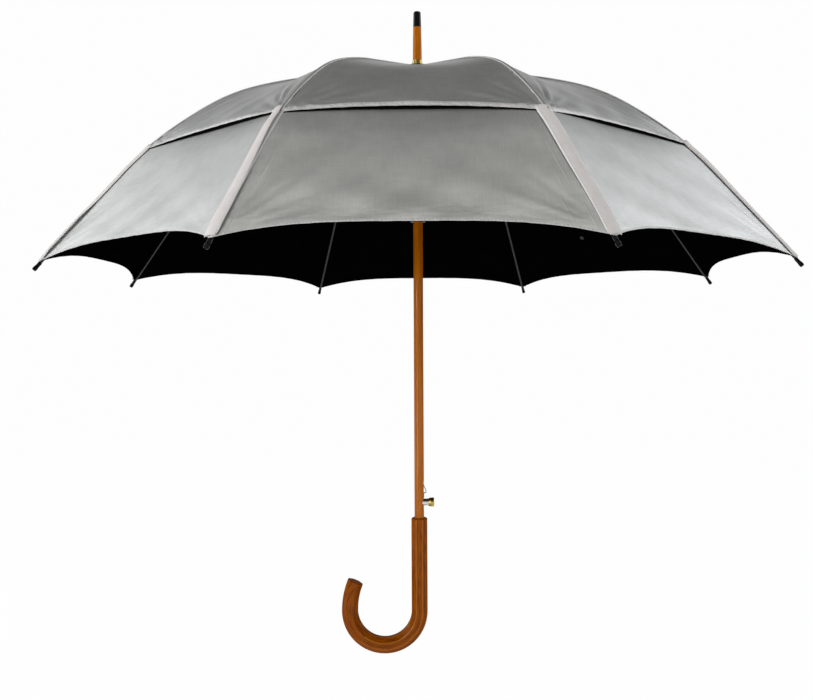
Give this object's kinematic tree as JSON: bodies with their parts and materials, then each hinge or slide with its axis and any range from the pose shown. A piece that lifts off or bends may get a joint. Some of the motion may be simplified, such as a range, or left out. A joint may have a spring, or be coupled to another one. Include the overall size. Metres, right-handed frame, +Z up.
{
  "type": "golf umbrella",
  "caption": "Long umbrella with a vented silver canopy on curved ribs, wooden shaft and crook handle; a push-button catch lets it spring open, and it folds along the shaft.",
  "frame": {"origin": "on the shaft's axis at the middle of the grip, the straight part of the handle", "axes": "+Z up the shaft towards the ferrule tip; the crook bends towards -X; the release button points to +X"},
  "size_m": [1.047, 1.047, 1.0105],
  "materials": {
    "canopy_cloth": "silver grey satin pongee cloth, black inside",
    "shaft_wood": "varnished golden brown wood",
    "handle_wood": "varnished darker brown wood",
    "ferrule_black": "black satin",
    "tip_plastic": "black",
    "crown_black": "black",
    "runner_plastic": "black moulded plastic",
    "brass": "polished brass",
    "release_steel": "bright steel",
    "rib_steel": "grey coated steel",
    "wire_steel": "drawn steel wire"
  },
  "bodies": {
    "shaft": {"handle": "handle_wood", "shaft": "shaft_wood", "ferrule_tip": "ferrule_black", "ferrule_collar": "brass", "crown_washer": "crown_black", "top_notch": "runner_plastic", "notch_wire": "wire_steel", "notch_pin": "wire_steel", "release_housing": "release_steel", "catch_pin": "release_steel"},
    "rib_1": {"rib_1": "rib_steel", "rib_tip_1": "tip_plastic"},
    "stretcher_1": {"stretcher_1": "rib_steel"},
    "strut_1": {"strut_1": "rib_steel"},
    "canopy_panel_1": {"canopy_panel_1": "canopy_cloth"},
    "rib_2": {"rib_2": "rib_steel", "rib_tip_2": "tip_plastic"},
    "stretcher_2": {"stretcher_2": "rib_steel"},
    "strut_2": {"strut_2": "rib_steel"},
    "canopy_panel_2": {"canopy_panel_2": "canopy_cloth"},
    "rib_3": {"rib_3": "rib_steel", "rib_tip_3": "tip_plastic"},
    "stretcher_3": {"stretcher_3": "rib_steel"},
    "strut_3": {"strut_3": "rib_steel"},
    "canopy_panel_3": {"canopy_panel_3": "canopy_cloth"},
    "rib_4": {"rib_4": "rib_steel", "rib_tip_4": "tip_plastic"},
    "stretcher_4": {"stretcher_4": "rib_steel"},
    "strut_4": {"strut_4": "rib_steel"},
    "canopy_panel_4": {"canopy_panel_4": "canopy_cloth"},
    "rib_5": {"rib_5": "rib_steel", "rib_tip_5": "tip_plastic"},
    "stretcher_5": {"stretcher_5": "rib_steel"},
    "strut_5": {"strut_5": "rib_steel"},
    "canopy_panel_5": {"canopy_panel_5": "canopy_cloth"},
    "rib_6": {"rib_6": "rib_steel", "rib_tip_6": "tip_plastic"},
    "stretcher_6": {"stretcher_6": "rib_steel"},
    "strut_6": {"strut_6": "rib_steel"},
    "canopy_panel_6": {"canopy_panel_6": "canopy_cloth"},
    "rib_7": {"rib_7": "rib_steel", "rib_tip_7": "tip_plastic"},
    "stretcher_7": {"stretcher_7": "rib_steel"},
    "strut_7": {"strut_7": "rib_steel"},
    "canopy_panel_7": {"canopy_panel_7": "canopy_cloth"},
    "rib_8": {"rib_8": "rib_steel", "rib_tip_8": "tip_plastic"},
    "stretcher_8": {"stretcher_8": "rib_steel"},
    "strut_8": {"strut_8": "rib_steel"},
    "canopy_panel_8": {"canopy_panel_8": "canopy_cloth"},
    "runner": {"runner": "runner_plastic", "runner_wire": "wire_steel", "opening_spring": "wire_steel"},
    "lower_runner": {"lower_runner": "runner_plastic", "lower_runner_wire": "wire_steel"},
    "release_button": {"release_button": "brass"},
    "catch": {"catch": "release_steel"}
  },
  "joints": [
    {"name": "canopy_fold", "type": "hinge", "parent": "shaft", "child": "rib_1", "pos_m": [0.0044, -0.01062, 0.78154], "axis": [0.9239, 0.3827, 0], "range_deg": [0, 58.7], "stiffness_Nm_per_rad": 6, "springref_deg": -68.75},
    {"name": "stretcher_1_pivot", "type": "hinge", "parent": "rib_1", "child": "stretcher_1", "pos_m": [0.12341, -0.29793, 0.69379], "axis": [0.9239, 0.3827, 0], "range_deg": [-117.4, 0]},
    {"name": "strut_1_pivot", "type": "hinge", "parent": "stretcher_1", "child": "strut_1", "pos_m": [0.02282, -0.05508, 0.61961], "axis": [0.9239, 0.3827, 0], "range_deg": [0, 26.31]},
    {"name": "canopy_panel_1_gather", "type": "hinge", "parent": "rib_1", "child": "canopy_panel_1", "pos_m": [-0.22421, 0.22421, 0.61034], "axis": [-0.6275, 0.6275, -0.461], "range_deg": [0, 43.24], "deforming": ["canopy_panel_1"]},
    {"name": "rib_2_fold", "type": "hinge", "parent": "shaft", "child": "rib_2", "pos_m": [0.01062, -0.0044, 0.78154], "axis": [0.3827, 0.9239, 0], "range_deg": [0, 58.7]},
    {"name": "stretcher_2_pivot", "type": "hinge", "parent": "rib_2", "child": "stretcher_2", "pos_m": [0.29793, -0.12341, 0.69379], "axis": [0.3827, 0.9239, 0], "range_deg": [-117.4, 0]},
    {"name": "strut_2_pivot", "type": "hinge", "parent": "stretcher_2", "child": "strut_2", "pos_m": [0.05508, -0.02282, 0.61961], "axis": [0.3827, 0.9239, 0], "range_deg": [0, 26.31]},
    {"name": "canopy_panel_2_gather", "type": "hinge", "parent": "rib_2", "child": "canopy_panel_2", "pos_m": [-0.31708, 0, 0.61034], "axis": [-0.8874, 0, -0.461], "range_deg": [0, 43.24], "deforming": ["canopy_panel_2"]},
    {"name": "rib_3_fold", "type": "hinge", "parent": "shaft", "child": "rib_3", "pos_m": [0.01062, 0.0044, 0.78154], "axis": [-0.3827, 0.9239, 0], "range_deg": [0, 58.7]},
    {"name": "stretcher_3_pivot", "type": "hinge", "parent": "rib_3", "child": "stretcher_3", "pos_m": [0.29793, 0.12341, 0.69379], "axis": [-0.3827, 0.9239, 0], "range_deg": [-117.4, 0]},
    {"name": "strut_3_pivot", "type": "hinge", "parent": "stretcher_3", "child": "strut_3", "pos_m": [0.05508, 0.02282, 0.61961], "axis": [-0.3827, 0.9239, 0], "range_deg": [0, 26.31]},
    {"name": "canopy_panel_3_gather", "type": "hinge", "parent": "rib_3", "child": "canopy_panel_3", "pos_m": [-0.22421, -0.22421, 0.61034], "axis": [-0.6275, -0.6275, -0.461], "range_deg": [0, 43.24], "deforming": ["canopy_panel_3"]},
    {"name": "rib_4_fold", "type": "hinge", "parent": "shaft", "child": "rib_4", "pos_m": [0.0044, 0.01062, 0.78154], "axis": [-0.9239, 0.3827, 0], "range_deg": [0, 58.7]},
    {"name": "stretcher_4_pivot", "type": "hinge", "parent": "rib_4", "child": "stretcher_4", "pos_m": [0.12341, 0.29793, 0.69379], "axis": [-0.9239, 0.3827, 0], "range_deg": [-117.4, 0]},
    {"name": "strut_4_pivot", "type": "hinge", "parent": "stretcher_4", "child": "strut_4", "pos_m": [0.02282, 0.05508, 0.61961], "axis": [-0.9239, 0.3827, 0], "range_deg": [0, 26.31]},
    {"name": "canopy_panel_4_gather", "type": "hinge", "parent": "rib_4", "child": "canopy_panel_4", "pos_m": [0, -0.31708, 0.61034], "axis": [0, -0.8874, -0.461], "range_deg": [0, 43.24], "deforming": ["canopy_panel_4"]},
    {"name": "rib_5_fold", "type": "hinge", "parent": "shaft", "child": "rib_5", "pos_m": [-0.0044, 0.01062, 0.78154], "axis": [-0.9239, -0.3827, 0], "range_deg": [0, 58.7]},
    {"name": "stretcher_5_pivot", "type": "hinge", "parent": "rib_5", "child": "stretcher_5", "pos_m": [-0.12341, 0.29793, 0.69379], "axis": [-0.9239, -0.3827, 0], "range_deg": [-117.4, 0]},
    {"name": "strut_5_pivot", "type": "hinge", "parent": "stretcher_5", "child": "strut_5", "pos_m": [-0.02282, 0.05508, 0.61961], "axis": [-0.9239, -0.3827, 0], "range_deg": [0, 26.31]},
    {"name": "canopy_panel_5_gather", "type": "hinge", "parent": "rib_5", "child": "canopy_panel_5", "pos_m": [0.22421, -0.22421, 0.61034], "axis": [0.6275, -0.6275, -0.461], "range_deg": [0, 43.24], "deforming": ["canopy_panel_5"]},
    {"name": "rib_6_fold", "type": "hinge", "parent": "shaft", "child": "rib_6", "pos_m": [-0.01062, 0.0044, 0.78154], "axis": [-0.3827, -0.9239, 0], "range_deg": [0, 58.7]},
    {"name": "stretcher_6_pivot", "type": "hinge", "parent": "rib_6", "child": "stretcher_6", "pos_m": [-0.29793, 0.12341, 0.69379], "axis": [-0.3827, -0.9239, 0], "range_deg": [-117.4, 0]},
    {"name": "strut_6_pivot", "type": "hinge", "parent": "stretcher_6", "child": "strut_6", "pos_m": [-0.05508, 0.02282, 0.61961], "axis": [-0.3827, -0.9239, 0], "range_deg": [0, 26.31]},
    {"name": "canopy_panel_6_gather", "type": "hinge", "parent": "rib_6", "child": "canopy_panel_6", "pos_m": [0.31708, 0, 0.61034], "axis": [0.8874, 0, -0.461], "range_deg": [0, 43.24], "deforming": ["canopy_panel_6"]},
    {"name": "rib_7_fold", "type": "hinge", "parent": "shaft", "child": "rib_7", "pos_m": [-0.01062, -0.0044, 0.78154], "axis": [0.3827, -0.9239, 0], "range_deg": [0, 58.7]},
    {"name": "stretcher_7_pivot", "type": "hinge", "parent": "rib_7", "child": "stretcher_7", "pos_m": [-0.29793, -0.12341, 0.69379], "axis": [0.3827, -0.9239, 0], "range_deg": [-117.4, 0]},
    {"name": "strut_7_pivot", "type": "hinge", "parent": "stretcher_7", "child": "strut_7", "pos_m": [-0.05508, -0.02282, 0.61961], "axis": [0.3827, -0.9239, 0], "range_deg": [0, 26.31]},
    {"name": "canopy_panel_7_gather", "type": "hinge", "parent": "rib_7", "child": "canopy_panel_7", "pos_m": [0.22421, 0.22421, 0.61034], "axis": [0.6275, 0.6275, -0.461], "range_deg": [0, 43.24], "deforming": ["canopy_panel_7"]},
    {"name": "rib_8_fold", "type": "hinge", "parent": "shaft", "child": "rib_8", "pos_m": [-0.0044, -0.01062, 0.78154], "axis": [0.9239, -0.3827, 0], "range_deg": [0, 58.7]},
    {"name": "stretcher_8_pivot", "type": "hinge", "parent": "rib_8", "child": "stretcher_8", "pos_m": [-0.12341, -0.29793, 0.69379], "axis": [0.9239, -0.3827, 0], "range_deg": [-117.4, 0]},
    {"name": "strut_8_pivot", "type": "hinge", "parent": "stretcher_8", "child": "strut_8", "pos_m": [-0.02282, -0.05508, 0.61961], "axis": [0.9239, -0.3827, 0], "range_deg": [0, 26.31]},
    {"name": "canopy_panel_8_gather", "type": "hinge", "parent": "rib_8", "child": "canopy_panel_8", "pos_m": [0, 0.31708, 0.61034], "axis": [0, 0.8874, -0.461], "range_deg": [0, 43.24], "deforming": ["canopy_panel_8"]},
    {"name": "runner_slide", "type": "hinge", "parent": "stretcher_1", "child": "runner", "pos_m": [0.0044, -0.01062, 0.60603], "axis": [0.9239, 0.3827, 0], "range_deg": [0, 58.7]},
    {"name": "spring_compression", "type": "slide", "parent": "runner", "child": "lower_runner", "axis": [0, 0, 1], "range_m": [0, 0.01672], "deforming": ["opening_spring"]},
    {"name": "button_press", "type": "slide", "parent": "shaft", "child": "release_button", "axis": [-1, 0, 0], "range_m": [0, 0.0018], "stiffness_N_per_m": 2500, "springref_m": -0.0008},
    {"name": "catch_release", "type": "hinge", "parent": "shaft", "child": "catch", "pos_m": [0.003, 0, 0.0905], "axis": [0, -1, 0], "range_deg": [0, 10.2]}
  ],
  "couplings": [
    {"joint": "stretcher_1_pivot", "follows": "canopy_fold", "ratio": -2},
    {"joint": "strut_1_pivot", "follows": "canopy_fold", "ratio": 0.44814},
    {"joint": "canopy_panel_1_gather", "follows": "canopy_fold", "ratio": 0.73669},
    {"joint": "rib_2_fold", "follows": "canopy_fold", "ratio": 1},
    {"joint": "stretcher_2_pivot", "follows": "canopy_fold", "ratio": -2},
    {"joint": "strut_2_pivot", "follows": "canopy_fold", "ratio": 0.44814},
    {"joint": "canopy_panel_2_gather", "follows": "canopy_fold", "ratio": 0.73669},
    {"joint": "rib_3_fold", "follows": "canopy_fold", "ratio": 1},
    {"joint": "stretcher_3_pivot", "follows": "canopy_fold", "ratio": -2},
    {"joint": "strut_3_pivot", "follows": "canopy_fold", "ratio": 0.44814},
    {"joint": "canopy_panel_3_gather", "follows": "canopy_fold", "ratio": 0.73669},
    {"joint": "rib_4_fold", "follows": "canopy_fold", "ratio": 1},
    {"joint": "stretcher_4_pivot", "follows": "canopy_fold", "ratio": -2},
    {"joint": "strut_4_pivot", "follows": "canopy_fold", "ratio": 0.44814},
    {"joint": "canopy_panel_4_gather", "follows": "canopy_fold", "ratio": 0.73669},
    {"joint": "rib_5_fold", "follows": "canopy_fold", "ratio": 1},
    {"joint": "stretcher_5_pivot", "follows": "canopy_fold", "ratio": -2},
    {"joint": "strut_5_pivot", "follows": "canopy_fold", "ratio": 0.44814},
    {"joint": "canopy_panel_5_gather", "follows": "canopy_fold", "ratio": 0.73669},
    {"joint": "rib_6_fold", "follows": "canopy_fold", "ratio": 1},
    {"joint": "stretcher_6_pivot", "follows": "canopy_fold", "ratio": -2},
    {"joint": "strut_6_pivot", "follows": "canopy_fold", "ratio": 0.44814},
    {"joint": "canopy_panel_6_gather", "follows": "canopy_fold", "ratio": 0.73669},
    {"joint": "rib_7_fold", "follows": "canopy_fold", "ratio": 1},
    {"joint": "stretcher_7_pivot", "follows": "canopy_fold", "ratio": -2},
    {"joint": "strut_7_pivot", "follows": "canopy_fold", "ratio": 0.44814},
    {"joint": "canopy_panel_7_gather", "follows": "canopy_fold", "ratio": 0.73669},
    {"joint": "rib_8_fold", "follows": "canopy_fold", "ratio": 1},
    {"joint": "stretcher_8_pivot", "follows": "canopy_fold", "ratio": -2},
    {"joint": "strut_8_pivot", "follows": "canopy_fold", "ratio": 0.44814},
    {"joint": "canopy_panel_8_gather", "follows": "canopy_fold", "ratio": 0.73669},
    {"joint": "runner_slide", "follows": "canopy_fold", "ratio": 1},
    {"joint": "spring_compression", "follows": "canopy_fold", "m_per_rad": 0.016323},
    {"joint": "catch_release", "follows": "button_press", "rad_per_m": 98.941}
  ]
}
